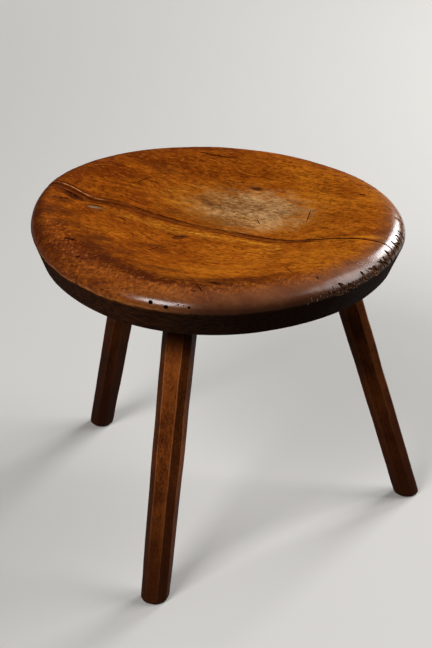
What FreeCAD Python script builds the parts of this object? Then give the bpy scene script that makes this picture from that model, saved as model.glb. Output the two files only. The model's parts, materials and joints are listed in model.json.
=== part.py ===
# Three-legged stool: a thick, round, dished seat of two boards on three splayed, eight-sided legs.
# Millimetres and degrees. The floor is z = 0 and the grain of the seat runs along x.
import FreeCAD, Part
import os
import Sketcher
from FreeCAD import Placement, Rotation, Vector
from math import acos, atan2, cos, hypot, pi, radians, sin

X_AXIS = Vector(1, 0, 0)
Y_AXIS = Vector(0, 1, 0)
Z_AXIS = Vector(0, 0, 1)

# Driving dimensions, which fill the spreadsheet
sizes = {
    # Seat, measured square to its own flat underside; its outline has three soft corners near the legs
    "seat_diameter": 380.0,
    "corner_shift": 31.0,
    "corner_turn": -82.0,
    "seat_thickness": 45.0,
    "seat_height": 331.0,
    "seat_lean": 1.5,
    "rim_drop": 17.0,
    "rim_round": 16.0,
    "side_inset": 11.0,
    "underside_chamfer": 4.0,
    "dish_diameter": 330.0,
    "dish_floor_diameter": 92.0,
    "dish_depth": 21.5,
    "hollow_radius": 150.0,
    "lip_radius": 96.0,
    # Largest share of the room between floor and brink that the arcs of the dish may fill
    "dish_arc_share": 0.95,
    # Joint between the two boards, and the pegs across it, the outer ones set in from the seat's edge
    "joint_offset": 8.0,
    "joint_gap": 0.3,
    "dowel_diameter": 8.0,
    "dowel_length": 50.0,
    "dowel_chamfer": 1.0,
    "dowel_inset": 110.0,
    "dowel_height": 11.0,
    # Legs: how far inside the seat's edge they enter it, and how far outside that edge they stand
    "socket_inset": 67.0,
    "foot_outset": 16.0,
    "foot_chamfer": 3.5,
    # Round tenon on the end of each leg, with its wedge
    "tenon_diameter": 20.0,
    "tenon_length": 22.0,
    "tenon_root": 12.0,
    "wedge_length": 14.0,
    "wedge_width": 15.0,
    "wedge_thick": 4.0,
    "wedge_tip": 1.5,
    # Each leg: its turns about the seat's axis at the seat and on the floor, and its width across flats
    "front_socket_turn": -83.4,
    "front_foot_turn": -85.7,
    "front_shoulder_width": 31.5,
    "front_foot_width": 27.5,
    "right_socket_turn": 23.0,
    "right_foot_turn": 23.0,
    "right_shoulder_width": 27.5,
    "right_foot_width": 25.5,
    "left_socket_turn": 152.4,
    "left_foot_turn": 151.1,
    "left_shoulder_width": 28.5,
    "left_foot_width": 25.5,
    # Share of a leg's width that each planed corner takes off a side
    "shoulder_corner_share": 0.23,
    "foot_corner_share": 0.28,
    # Slack of pegs, tenons and wedges in their holes, and the length by which cutting shapes run past
    "fit_clearance": 0.1,
    "overrun": 15.0,
}

doc = FreeCAD.newDocument("stool")
sheet = doc.addObject("Spreadsheet::Sheet", "Sizes")
for row, (name, value) in enumerate(sizes.items(), 1):
    sheet.set(f"A{row}", name)
    sheet.set(f"B{row}", str(value))
    sheet.setAlias(f"B{row}", name)
doc.recompute()


def bind(thing, **formulas):
    """Tie properties of an object to formulas of the sheet's names, each written as {name}."""
    for prop, formula in formulas.items():
        thing.setExpression(prop, formula.format(**{name: f"Sizes.{name}" for name in sizes}))


def part_object(kind, name, place=Placement(), **formulas):
    """Make a Part object whose sizes follow the sheet."""
    thing = doc.addObject(kind, name)
    bind(thing, **formulas)
    thing.Placement = place
    return thing


def boolean(kind, name, base, tool):
    """Combine two objects of the document into a third."""
    result = doc.addObject(kind, name)
    result.Base = base
    result.Tool = tool
    return result


def compound(name, things):
    """Gather cutting shapes so that one cut can use them all."""
    result = doc.addObject("Part::Compound", name)
    result.Links = things
    return result


def sketch_on(body, name, role):
    """Make a sketch on one of a body's own origin planes."""
    sketch = body.newObject("Sketcher::SketchObject", name)
    plane = next(item for item in body.Origin.OriginFeatures if item.Role == role)
    sketch.AttachmentSupport = [(plane, "")]
    sketch.MapMode = "FlatFace"
    return sketch


def bound_constraint(sketch, kind, elements, value, formula):
    """Add a dimension to a sketch and tie it to the sheet."""
    index = sketch.addConstraint(Sketcher.Constraint(kind, *elements, value))
    bind(sketch, **{f"Constraints[{index}]": formula})


def edges_where(shape, wanted):
    """Numbers of the edges of a shape that meet a condition."""
    return [number for number, edge in enumerate(shape.Edges, 1) if wanted(edge)]


# Where the seat stands: its underside's centre is on the z axis, and it leans down towards +x
lean = Rotation(Y_AXIS, sizes["seat_lean"])
underside_centre = Vector(0, 0, sizes["seat_height"]) - lean.multVec(Z_AXIS) * sizes["seat_thickness"]
seat_place = Placement(underside_centre, lean)


def seat_outline(body):
    """Rounded triangle of one width all round: six tangent arcs about the corners of a hexagon."""
    half, shift = sizes["seat_diameter"] / 2, sizes["corner_shift"]
    spread = shift * cos(pi / 6)
    sketch = sketch_on(body, "seat_outline", "XY_Plane")
    sketch.AttachmentOffset = Placement(Vector(), Rotation(Z_AXIS, sizes["corner_turn"]))
    for step in range(6):
        way = step * pi / 3
        middle = Vector(cos(way), sin(way)) * (-shift if step % 2 else shift)
        radius = half + spread if step % 2 else half - spread
        circle = Part.Circle(middle, Z_AXIS, radius)
        sketch.addGeometry(Part.ArcOfCircle(circle, way - pi / 6, way + pi / 6))
    for step in range(6):
        sketch.addConstraint(Sketcher.Constraint("Tangent", step, 2, (step + 1) % 6, 1))
        sign = "+" if step % 2 else "-"
        bound_constraint(sketch, "Radius", (step,), sketch.Geometry[step].Radius,
                         f"{{seat_diameter}} / 2 {sign} {{corner_shift}} * cos(30)")

    # The three tight arcs are centred on a triangle, and the wide arcs between them follow
    sketch.addConstraint(Sketcher.Constraint("PointOnObject", 0, 3, -1))
    bound_constraint(sketch, "DistanceX", (-1, 1, 0, 3), shift, "{corner_shift}")
    for arc, ends in [(2, (-1, 1, 2, 3)), (4, (4, 3, -1, 1))]:
        bound_constraint(sketch, "DistanceX", (arc, 3, -1, 1), shift / 2, "{corner_shift} / 2")
        bound_constraint(sketch, "DistanceY", ends, spread, "{corner_shift} * cos(30)")
    return sketch


def dish_section(body):
    """Half section of the dish: a level floor that curves up to a straight slope and a soft lip."""
    thickness, depth = sizes["seat_thickness"], sizes["dish_depth"]
    floor_edge = Vector(sizes["dish_floor_diameter"] / 2, thickness - depth)
    brink = Vector(sizes["dish_diameter"] / 2, thickness)
    above = brink + Vector(0, sizes["overrun"])
    over_axis, axis_end = Vector(0, above.y), Vector(0, floor_edge.y)

    # Both arcs tighten alike where they would leave no straight slope between them
    run, bends = brink.x - floor_edge.x, sizes["hollow_radius"] + sizes["lip_radius"]
    tightness = min(1, sizes["dish_arc_share"] * (run ** 2 + depth ** 2) / (2 * depth * bends))
    tightening = ("min(1; {dish_arc_share}"
                  " * (({dish_diameter} - {dish_floor_diameter}) ^ 2 / 4 + {dish_depth} ^ 2)"
                  " / (2 * {dish_depth} * ({hollow_radius} + {lip_radius})))")
    hollow, lip = sizes["hollow_radius"] * tightness, sizes["lip_radius"] * tightness

    # The slope is the one at which a straight run touches both arcs
    bends = hollow + lip
    slope = atan2(run, bends - depth) - acos(bends / hypot(run, bends - depth))
    slope_foot = floor_edge + Vector(sin(slope), 1 - cos(slope)) * hollow
    slope_head = brink - Vector(sin(slope), 1 - cos(slope)) * lip
    hollow_circle = Part.Circle(floor_edge + Vector(0, hollow), Z_AXIS, hollow)
    lip_circle = Part.Circle(brink - Vector(0, lip), Z_AXIS, lip)

    sketch = sketch_on(body, "dish_section", "XZ_Plane")
    level, curve, rise, brow, wall, top, spine = sketch.addGeometry([
        Part.LineSegment(axis_end, floor_edge),
        Part.ArcOfCircle(hollow_circle, -pi / 2, -pi / 2 + slope),
        Part.LineSegment(slope_foot, slope_head),
        Part.ArcOfCircle(lip_circle, pi / 2, pi / 2 + slope),
        Part.LineSegment(brink, above),
        Part.LineSegment(above, over_axis),
        Part.LineSegment(over_axis, axis_end),
    ])

    # Ends of lines and arcs are 1 and 2, centres are 3; -1 is the origin and -2 the upright axis
    for ends in [(level, 2, curve, 1), (curve, 2, rise, 1), (rise, 2, brow, 2)]:
        sketch.addConstraint(Sketcher.Constraint("Tangent", *ends))
    for ends in [(brow, 1, wall, 1), (wall, 2, top, 1), (top, 2, spine, 1), (spine, 2, level, 1)]:
        sketch.addConstraint(Sketcher.Constraint("Coincident", *ends))
    for kind, *elements in [("Horizontal", level), ("Vertical", wall), ("Horizontal", top),
                            ("Vertical", brow, 3, brow, 1),
                            ("PointOnObject", spine, 1, -2), ("PointOnObject", spine, 2, -2)]:
        sketch.addConstraint(Sketcher.Constraint(kind, *elements))
    for kind, elements, value, formula in [
        ("DistanceX", (-1, 1, level, 2), floor_edge.x, "{dish_floor_diameter} / 2"),
        ("DistanceY", (-1, 1, level, 2), floor_edge.y, "{seat_thickness} - {dish_depth}"),
        ("Radius", (curve,), hollow, "{hollow_radius} * " + tightening),
        ("Radius", (brow,), lip, "{lip_radius} * " + tightening),
        ("DistanceX", (-1, 1, brow, 1), brink.x, "{dish_diameter} / 2"),
        ("DistanceY", (-1, 1, brow, 1), brink.y, "{seat_thickness}"),
        ("DistanceY", (-1, 1, wall, 2), above.y, "{seat_thickness} + {overrun}"),
    ]:
        bound_constraint(sketch, kind, elements, value, formula)
    return sketch


def shaped_seat():
    """The whole seat, as it is shaped after its two boards are joined."""
    body = doc.addObject("PartDesign::Body", "seat_shaped")
    blank = body.newObject("PartDesign::Pad", "seat_blank")
    blank.Profile = seat_outline(body)
    bind(blank, Length="{seat_thickness}")
    doc.recompute()

    # The side slopes in below the arris, which is left where the rolled rim ends
    sloped = body.newObject("PartDesign::Chamfer", "seat_side_slope")
    low = edges_where(blank.Shape, lambda edge: edge.BoundBox.ZMax < sizes["fit_clearance"])
    sloped.Base = (blank, [f"Edge{number}" for number in low])
    sloped.ChamferType = "Two distances"
    bind(sloped, Size="{seat_thickness} - {rim_drop}", Size2="{side_inset}")
    doc.recompute()

    softened = body.newObject("PartDesign::Chamfer", "seat_underside_chamfer")
    low = edges_where(sloped.Shape, lambda edge: edge.BoundBox.ZMax < sizes["fit_clearance"])
    softened.Base = (sloped, [f"Edge{number}" for number in low])
    bind(softened, Size="{underside_chamfer}")
    doc.recompute()

    rolled = body.newObject("PartDesign::Fillet", "seat_rim_roll")
    level_top = sizes["seat_thickness"] - sizes["fit_clearance"]
    high = edges_where(softened.Shape, lambda edge: edge.BoundBox.ZMin > level_top)
    rolled.Base = (softened, [f"Edge{number}" for number in high])
    bind(rolled, Radius="min({rim_round}; {rim_drop} - {fit_clearance})")

    dished = body.newObject("PartDesign::Groove", "seat_dish")
    section = dish_section(body)
    dished.Profile = section
    dished.ReferenceAxis = (section, ["V_Axis"])
    dished.Angle = 360
    body.Tip = dished
    doc.recompute()
    if dished.Shape.Volume >= rolled.Shape.Volume:
        raise RuntimeError("the dish cuts nothing")
    body.Placement = seat_place
    return body


class LegLine:
    """Axis of a leg, from the middle of its foot on the floor to the middle of its socket."""

    def __init__(self, side):
        socket_turn = radians(sizes[f"{side}_socket_turn"])
        foot_turn = radians(sizes[f"{side}_foot_turn"])
        seat_edge = sizes["seat_diameter"] / 2
        on_seat = Vector(cos(socket_turn), sin(socket_turn), 0) * (seat_edge - sizes["socket_inset"])
        outward = Vector(cos(foot_turn), sin(foot_turn), 0)
        self.foot = outward * (seat_edge + sizes["foot_outset"])
        self.socket = seat_place.multVec(on_seat)
        self.length = (self.socket - self.foot).Length
        self.along = (self.socket - self.foot).normalize()
        self.facets = Rotation(outward, Y_AXIS, self.along, "ZXY")
        self.grain = Rotation(X_AXIS, Y_AXIS, self.along, "ZXY")

    def at(self, distance, turn):
        """Placement on the axis, at a distance past the socket's middle."""
        return Placement(self.socket + self.along * distance, turn)


leg_lines = {side: LegLine(side) for side in ("front", "right", "left")}


def octagon(body, name, height, width, corner):
    """Square section with its corners planed off, across a leg's axis; sizes are formulas."""
    sketch = sketch_on(body, name, "XY_Plane")
    sketch.AttachmentOffset = Placement(Vector(0, 0, height), Rotation())
    half, flat = f"({width}) / 2", f"({width}) * (0.5 - {corner})"
    reach, short = 1.0, 0.5
    corners = [(reach, -short), (reach, short), (short, reach), (-short, reach),
               (-reach, short), (-reach, -short), (-short, -reach), (short, -reach)]
    points = [Vector(x, y) * sizes["overrun"] for x, y in corners]
    for start, end in zip(points, points[1:] + points[:1]):
        sketch.addGeometry(Part.LineSegment(start, end))
    for line, spot in enumerate(corners):
        sketch.addConstraint(Sketcher.Constraint("Coincident", line - 1 if line else 7, 2, line, 1))
        for kind, share, place in zip(("DistanceX", "DistanceY"), spot, (points[line].x, points[line].y)):
            elements = (-1, 1, line, 1) if share > 0 else (line, 1, -1, 1)
            bound_constraint(sketch, kind, elements, abs(place), half if abs(share) == reach else flat)
    return sketch


def leg_shaft(side, line):
    """Tapered eight-sided shaft, run past both ends before it is trimmed to the floor and the seat."""
    body = doc.addObject("PartDesign::Body", f"leg_{side}_shaft")
    taper = f"({{{side}_shoulder_width}} - {{{side}_foot_width}}) * {{overrun}} / {line.length}"
    foot = octagon(body, f"leg_{side}_foot_section", -sizes["overrun"],
                   f"{{{side}_foot_width}} - {taper}", "{foot_corner_share}")
    shoulder = octagon(body, f"leg_{side}_shoulder_section", line.length + sizes["overrun"],
                       f"{{{side}_shoulder_width}} + {taper}", "{shoulder_corner_share}")
    loft = body.newObject("PartDesign::AdditiveLoft", f"leg_{side}_taper")
    loft.Profile = foot
    loft.Sections = [(shoulder, [""])]
    loft.Ruled = True
    body.Tip = loft
    body.Placement = Placement(line.foot, line.facets)
    return body


def tenon_round(name, line, slack):
    """Round tenon of a leg, or its mortise when slack is a clearance."""
    return part_object("Part::Cylinder", name, line.at(-sizes["tenon_root"], line.grain),
                       Radius=f"{{tenon_diameter}} / 2 + {slack}",
                       Height=f"{{tenon_root}} + {{tenon_length}} + {slack}")


def tenon_wedge(name, line, width, slack):
    """Flat wedge with its thick end flush with the tenon's end, or the saw cut that it is driven into."""
    upright = line.grain * Rotation(X_AXIS, 90)
    place = line.at(sizes["tenon_length"] - sizes["wedge_length"], upright)
    return part_object("Part::Wedge", name, place,
                       Xmin=f"-{{wedge_tip}} / 2 - {slack}", Xmax=f"{{wedge_tip}} / 2 + {slack}",
                       X2min=f"-{{wedge_thick}} / 2 - {slack}", X2max=f"{{wedge_thick}} / 2 + {slack}",
                       Ymin=f"-{slack}", Ymax="{wedge_length}",
                       Zmin=f"-{width} / 2", Zmax=f"{width} / 2",
                       Z2min=f"-{width} / 2", Z2max=f"{width} / 2")


def leg(side, line, ends):
    """Shaft with its shoulder scribed to the seat, split tenon and eased foot."""
    trimmed = boolean("Part::Cut", f"leg_{side}_trimmed", leg_shaft(side, line), ends)
    tenon = tenon_round(f"leg_{side}_tenon", line, "0")
    joined = boolean("Part::Fuse", f"leg_{side}_joined", trimmed, tenon)
    kerf = tenon_wedge(f"leg_{side}_kerf", line,
                       "({tenon_diameter} + 2 * {fit_clearance})", "{fit_clearance}")
    split = boolean("Part::Cut", f"leg_{side}_split", joined, kerf)
    doc.recompute()

    piece = doc.addObject("Part::Chamfer", f"leg_{side}")
    piece.Base = split
    sole = edges_where(split.Shape, lambda edge: edge.BoundBox.ZMax < sizes["fit_clearance"])
    piece.Edges = [(number, sizes["foot_chamfer"], sizes["foot_chamfer"]) for number in sole]
    return piece


def peg_start(step, half_length):
    """Placement at one end of a peg that lies across the joint, inside the seat's thickness."""
    along = step * (sizes["seat_diameter"] / 2 - sizes["dowel_inset"])
    end = Vector(along, sizes["joint_offset"] + half_length, sizes["dowel_height"])
    return seat_place * Placement(end, Rotation(X_AXIS, 90))


def dowel(name, step):
    """Split peg, whittled to eight sides whose corners grip the round hole, with eased ends."""
    rod = part_object("Part::Prism", f"{name}_rod", peg_start(step, sizes["dowel_length"] / 2),
                      Circumradius="{dowel_diameter} / 2", Height="{dowel_length}")
    rod.Polygon = 8
    doc.recompute()

    piece = doc.addObject("Part::Chamfer", name)
    piece.Base = rod
    ends = edges_where(rod.Shape, lambda edge: edge.BoundBox.YLength < sizes["fit_clearance"])
    piece.Edges = [(number, sizes["dowel_chamfer"], sizes["dowel_chamfer"]) for number in ends]
    return piece


def dowel_hole(name, step):
    """Hole for a peg, through the joint into both boards."""
    start = peg_start(step, sizes["dowel_length"] / 2 + sizes["fit_clearance"])
    return part_object("Part::Cylinder", name, start,
                       Radius="{dowel_diameter} / 2 + {fit_clearance}",
                       Height="{dowel_length} + 2 * {fit_clearance}")


def half_space(name, start):
    """Block that holds all of the seat on one side of the joint."""
    corner = Vector(-sizes["seat_diameter"] / 2 - sizes["overrun"], start, -sizes["overrun"])
    return part_object("Part::Box", name, seat_place * Placement(corner, Rotation()),
                       Length="{seat_diameter} + 2 * {overrun}", Width="{seat_diameter}",
                       Height="{seat_thickness} + 2 * {overrun}")


# Pegs across the joint between the boards
dowel_steps = {"left": -1, "centre": 0, "right": 1}
dowels = [dowel(f"dowel_{spot}", step) for spot, step in dowel_steps.items()]

# Seat, bored for the pegs and the legs, then parted along the joint
bores = [dowel_hole(f"dowel_{spot}_hole", step) for spot, step in dowel_steps.items()]
bores += [tenon_round(f"{side}_mortise", line, "{fit_clearance}") for side, line in leg_lines.items()]
bored_seat = boolean("Part::Cut", "seat_bored", shaped_seat(), compound("seat_bores", bores))
front_edge = sizes["joint_offset"] - sizes["joint_gap"] / 2
rear_edge = sizes["joint_offset"] + sizes["joint_gap"] / 2
boards = [
    boolean("Part::Common", "seat_front_board", bored_seat,
            half_space("front_half", front_edge - sizes["seat_diameter"])),
    boolean("Part::Common", "seat_rear_board", bored_seat, half_space("rear_half", rear_edge)),
]

# Legs, cut off by the floor and by the seat's underside
half_seat = sizes["seat_diameter"] / 2
half_floor = half_seat + sizes["foot_outset"] + sizes["overrun"] * 2
floor = part_object("Part::Box", "floor_block",
                    Placement(Vector(-half_floor, -half_floor, -2 * sizes["overrun"]), Rotation()),
                    Length="{seat_diameter} + 2 * {foot_outset} + 4 * {overrun}",
                    Width="{seat_diameter} + 2 * {foot_outset} + 4 * {overrun}", Height="2 * {overrun}")
slab = part_object("Part::Box", "seat_block",
                   seat_place * Placement(Vector(-half_seat, -half_seat, 0), Rotation()),
                   Length="{seat_diameter}", Width="{seat_diameter}", Height="2 * {overrun}")
leg_ends = compound("leg_ends", [floor, slab])
legs = [leg(side, line, leg_ends) for side, line in leg_lines.items()]

# Wedges in the split ends of the tenons
wedges = [tenon_wedge(f"wedge_{side}", line, "{wedge_width}", "0") for side, line in leg_lines.items()]

pieces = boards + dowels + legs + wedges
doc.recompute()

# The origin goes to the middle of the whole stool's footprint
box = FreeCAD.BoundBox()
for piece in pieces:
    box.add(piece.Shape.optimalBoundingBox(False))
for piece in pieces:
    piece.Placement = Placement(Vector(-box.Center.x, -box.Center.y, 0), Rotation()) * piece.Placement
doc.recompute()

for thing in doc.Objects:
    if "Invalid" in thing.State or "Error" in thing.State:
        raise RuntimeError(f"{thing.Label} did not compute: {thing.State}")
for piece in pieces:
    if piece.Shape.isNull() or not piece.Shape.isValid() or len(piece.Shape.Solids) != 1:
        raise RuntimeError(f"{piece.Label} is not one valid solid")

os.makedirs("parts", exist_ok=True)
for piece in pieces:
    piece.Shape.exportStep(f"parts/{piece.Label}.step")
    print(piece.Label, "volume", round(piece.Shape.Volume), "mm3")
print("seat axis at", round(-box.Center.x, 3), round(-box.Center.y, 3), "height", round(box.ZMax, 2))
for side, line in leg_lines.items():
    sole = line.foot - Vector(box.Center.x, box.Center.y, 0)
    print(side, "foot at", [round(value, 3) for value in sole], "length", round(line.length, 2))
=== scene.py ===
# Three-legged stool: a dished seat of two old boards on three shaved, eight-sided legs, in metres.
import json
from math import acos, atan2, cos, hypot, pi, radians, sin
import bmesh
import bpy
import numpy as np
from mathutils import Euler, Matrix, Vector, noise


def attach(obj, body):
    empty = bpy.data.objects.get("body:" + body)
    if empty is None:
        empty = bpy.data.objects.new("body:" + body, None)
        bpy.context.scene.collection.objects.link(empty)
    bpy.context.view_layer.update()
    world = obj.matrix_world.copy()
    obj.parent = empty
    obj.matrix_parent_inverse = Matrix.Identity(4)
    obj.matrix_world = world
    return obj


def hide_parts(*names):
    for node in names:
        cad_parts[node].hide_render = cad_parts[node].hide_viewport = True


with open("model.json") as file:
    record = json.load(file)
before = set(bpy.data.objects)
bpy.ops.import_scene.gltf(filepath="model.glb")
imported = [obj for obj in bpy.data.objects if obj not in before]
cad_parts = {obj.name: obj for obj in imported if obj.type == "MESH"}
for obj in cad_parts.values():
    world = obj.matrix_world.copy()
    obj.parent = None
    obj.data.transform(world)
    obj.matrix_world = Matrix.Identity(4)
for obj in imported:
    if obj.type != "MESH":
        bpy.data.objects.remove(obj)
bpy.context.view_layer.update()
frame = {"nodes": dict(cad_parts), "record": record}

# Seat: two thick boards of close-grained hardwood, their edges planed and pegged together, then cut
# to a soft three-cornered round, hollowed on top and rolled over at the rim. The side below the rim
# slopes in to a flat underside. Long use has waxed the top and worn the hollow pale.
SEAT_WIDTH = 0.380
CORNER_SHIFT = 0.031
CORNER_TURN = radians(-82)
CORNER_REACH = 0.00415
SEAT_THICK = 0.045
SEAT_HEIGHT = 0.331
SEAT_LEAN = radians(1.5)
RIM_DROP = 0.017
ROLL_SPAN = 0.0195
ROLL_UNEVEN = 0.0055
ROLL_WIDEST = radians(-35)
LEFT_CORNER = 0.0019
LEFT_CORNER_TURN = radians(177)
LEFT_CORNER_SPREAD = 0.05
SIDE_INSET = 0.011
UNDER_EASE = 0.004
DISH_WIDTH = 0.330
DISH_FLOOR_WIDTH = 0.092
DISH_DEPTH = 0.0215
HOLLOW_RADIUS = 0.150
LIP_RADIUS = 0.096
JOINT_OFFSET = 0.008
JOINT_GAP = 0.00006
STRIP_OFFSET = 0.0058
BOARD_COLUMNS, JOINT_HALVINGS = 360, 5
TOP_ROWS, ROLL_ROWS, SIDE_ROWS, UNDER_ROWS = 104, 26, 18, 24
SEAT_SHARP_EDGE = radians(40)
# Unevenness left by tools and use: waves to the metre along each axis, and depth
TOOL_WAVES = [((22, 30, 30), 0.00045), ((70, 140, 140), 0.00012)]
# Worn places of the top: change of height, then middle and reach along the grain and across it
WORN_PLACES = [
    (-0.0083, -0.143, 0.024, JOINT_OFFSET, 0.050), (0.0028, -0.062, 0.025, JOINT_OFFSET, 0.060),
    (-0.0014, 0.168, 0.024, JOINT_OFFSET, 0.060), (-0.0024, -0.157, 0.011, -0.008, 0.0045),
    (-0.0016, 0.006, 0.007, 0.103, 0.0035),
]
# The groove along the strip of grime, and the left end of the front board, which has worn lower
GROOVE_DEPTH, GROOVE_REACH, GROOVE_FADE = 0.0008, 0.0042, (0.05, 0.10)
STEP_DEPTH, STEP_REACH, STEP_FADE = 0.0016, 0.022, (-0.112, -0.092)


def circle_middle(points):
    """Middle of the circle through three points of the floor."""
    (ax, ay, _), (bx, by, _), (cx, cy, _) = points
    rows = [[bx - ax, by - ay], [cx - ax, cy - ay]]
    sums = [bx**2 - ax**2 + by**2 - ay**2, cx**2 - ax**2 + cy**2 - ay**2]
    return np.linalg.solve(rows, np.array(sums) / 2)


# The three feet stand on one circle about the seat's axis, which gives the seat its place
soles = {mount["name"]: Vector(mount["pos_m"]) for mount in frame["record"]["mounts"]}
axis_x, axis_y = circle_middle(soles.values())
seat_place = (Matrix.Translation((axis_x, axis_y, SEAT_HEIGHT)) @ Matrix.Rotation(SEAT_LEAN, 4, "Y")
              @ Matrix.Translation((0, 0, -SEAT_THICK)))


def dish_height(radius):
    """Height of the hollowed top over the underside, at distances from the seat's axis."""
    floor_edge, brink = DISH_FLOOR_WIDTH / 2, DISH_WIDTH / 2
    run, bends = brink - floor_edge, HOLLOW_RADIUS + LIP_RADIUS
    slope = atan2(run, bends - DISH_DEPTH) - acos(bends / hypot(run, bends - DISH_DEPTH))
    slope_foot = floor_edge + HOLLOW_RADIUS * sin(slope)
    slope_head = brink - LIP_RADIUS * sin(slope)
    floor = SEAT_THICK - DISH_DEPTH
    curve = floor + HOLLOW_RADIUS - np.sqrt(np.maximum(HOLLOW_RADIUS**2 - (radius - floor_edge)**2, 0))
    lip = SEAT_THICK - LIP_RADIUS + np.sqrt(np.maximum(LIP_RADIUS**2 - (brink - radius)**2, 0))
    straight = floor + HOLLOW_RADIUS * (1 - cos(slope)) + (radius - slope_foot) * np.tan(slope)
    return np.select([radius < floor_edge, radius < slope_foot, radius < slope_head, radius < brink],
                     [np.full_like(radius, floor), curve, straight, lip], SEAT_THICK)


def outline_reach(ways, start, inset):
    """Distance along each way from a point inside the seat to its outline, drawn in by an inset."""
    reach = np.zeros(len(ways))
    spread = CORNER_SHIFT * cos(pi / 6)
    for step in range(6):
        turn = CORNER_TURN + step * pi / 3
        shift = -CORNER_SHIFT if step % 2 else CORNER_SHIFT
        radius = SEAT_WIDTH / 2 + (spread if step % 2 else -spread) - inset
        offset = start - shift * np.array([cos(turn), sin(turn)])
        along = ways @ offset
        distance = np.sqrt(along**2 - offset @ offset + radius**2) - along
        spot = offset + ways * distance[:, None]
        swing = (np.arctan2(spot[:, 1], spot[:, 0]) - turn + pi) % (2 * pi) - pi
        reach = np.where(np.abs(swing) <= pi / 6 + 1e-6, distance, reach)
    return reach


def rim_roll(ways, share):
    """Inset, height and tilt part of the way down the rolled rim, which is broadest at the front right."""
    span = ROLL_SPAN + ROLL_UNEVEN * (ways @ np.array([cos(ROLL_WIDEST), sin(ROLL_WIDEST)]))
    sine, cosine = sin(share * pi / 2), cos(share * pi / 2)
    tilt = np.arctan2(RIM_DROP * sine, span * cosine)
    return span * (1 - sine), SEAT_THICK - RIM_DROP * (1 - cosine), tilt


def hump(distance, width):
    """Smooth bell of height 1 over a distance."""
    return np.exp(-(distance / width) ** 2)


def top_wear(x, y, side):
    """How far use has changed the height of a board's top, at places of the seat."""
    change = sum(depth * hump(x - place_x, reach_x) * hump(y - place_y, reach_y)
                 for depth, place_x, reach_x, place_y, reach_y in WORN_PLACES)
    groove = GROOVE_DEPTH * hump(y - STRIP_OFFSET, GROOVE_REACH) * np.interp(x, GROOVE_FADE, (1, 0))
    step = STEP_DEPTH * np.exp(-np.abs(y - JOINT_OFFSET) / STEP_REACH) * np.interp(x, STEP_FADE, (1, 0))
    return change - groove - step * (side < 0)


def hand_work(x, y, z):
    """Small unevenness that hand tools and use leave, always into the wood."""
    taken = 0
    for stretch, depth in TOOL_WAVES:
        waves = [noise.noise(Vector(spot)) for spot in np.column_stack([x, y, z]) * stretch]
        taken = taken + depth * (1 + np.array(waves))
    return -taken


def board_rows(ways, middle, side):
    """Rows of points over a board, from the middle of the joint out over the rim and back underneath."""
    def ring(inset, height, share=1.0, top=0.0, edge=0.0):
        corner = LEFT_CORNER * np.exp((ways @ left_way - 1) / LEFT_CORNER_SPREAD)
        flat = middle + ways * ((outline_reach(ways, middle, inset) + corner) * share)[:, None]
        heights = np.zeros(len(ways)) + (height(np.hypot(*flat.T)) if callable(height) else height)
        uneven = hand_work(*flat.T, heights)
        heights = heights + top * (top_wear(*flat.T, side) + uneven)
        flat = flat + ways * (edge * uneven)[:, None]
        flat[[0, -1], 1] = middle[1]
        return np.column_stack([flat, heights])

    left_way = np.array([cos(LEFT_CORNER_TURN), sin(LEFT_CORNER_TURN)])
    arris = SEAT_THICK - RIM_DROP
    side_end = UNDER_EASE / 2
    rows = [ring(rim_roll(ways, 0)[0], dish_height, share, top=1)
            for share in np.linspace(0, 1, TOP_ROWS + 1)]
    for share in np.linspace(0, 1, ROLL_ROWS + 1)[1:]:
        inset, height, _ = rim_roll(ways, share)
        rows.append(ring(inset, height, top=1 - share, edge=share))
    for height in np.linspace(arris, side_end, SIDE_ROWS + 1):
        rows.append(ring(SIDE_INSET * (arris - height) / arris, height, edge=1))
    under_inset = SIDE_INSET + UNDER_EASE
    rows.append(ring(under_inset - UNDER_EASE / 2, UNDER_EASE / 8, edge=0.5))
    rows += [ring(under_inset, 0.0, share) for share in np.linspace(1, 0, UNDER_ROWS + 1)]
    return np.array(rows)


def seat_board(name, side):
    """One board: a fan of points about the middle of the joint, closed by the flat joint face."""
    close = pi / BOARD_COLUMNS / 2.0 ** np.arange(1, JOINT_HALVINGS + 1)
    turns = np.unique(np.concatenate([np.linspace(0, pi, BOARD_COLUMNS + 1), close, pi - close])) * side
    ways = np.column_stack([np.cos(turns), np.sin(turns)])
    middle = np.array([0.0, JOINT_OFFSET + side * JOINT_GAP / 2])
    rows = board_rows(ways, middle, side)

    count = len(turns)
    mesh = bmesh.new()
    corners = [mesh.verts.new(seat_place @ Vector(point)) for point in rows.reshape(-1, 3)]
    for first in range(0, len(corners) - count, count):
        for corner in range(first, first + count - 1):
            mesh.faces.new([corners[corner], corners[corner + 1],
                            corners[corner + count + 1], corners[corner + count]])
    mesh.faces.new(corners[0::count] + corners[count - 1::count][::-1])
    bmesh.ops.remove_doubles(mesh, verts=mesh.verts, dist=1e-6)
    bmesh.ops.recalc_face_normals(mesh, faces=mesh.faces)
    data = bpy.data.meshes.new(name)
    mesh.to_mesh(data)
    mesh.free()
    data.shade_smooth()
    data.set_sharp_from_angle(angle=SEAT_SHARP_EDGE)
    board = bpy.data.objects.new(name, data)
    bpy.context.scene.collection.objects.link(board)
    return board


boards = {"seat_front_board": seat_board("front_board", -1), "seat_rear_board": seat_board("rear_board", 1)}


def paint(*levels):
    """Colour as the eye reads it, from three levels of 0 to 255."""
    shares = [level / 255 for level in levels]
    return [s / 12.92 if s <= 0.04045 else ((s + 0.055) / 1.055) ** 2.4 for s in shares] + [1.0]


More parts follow.
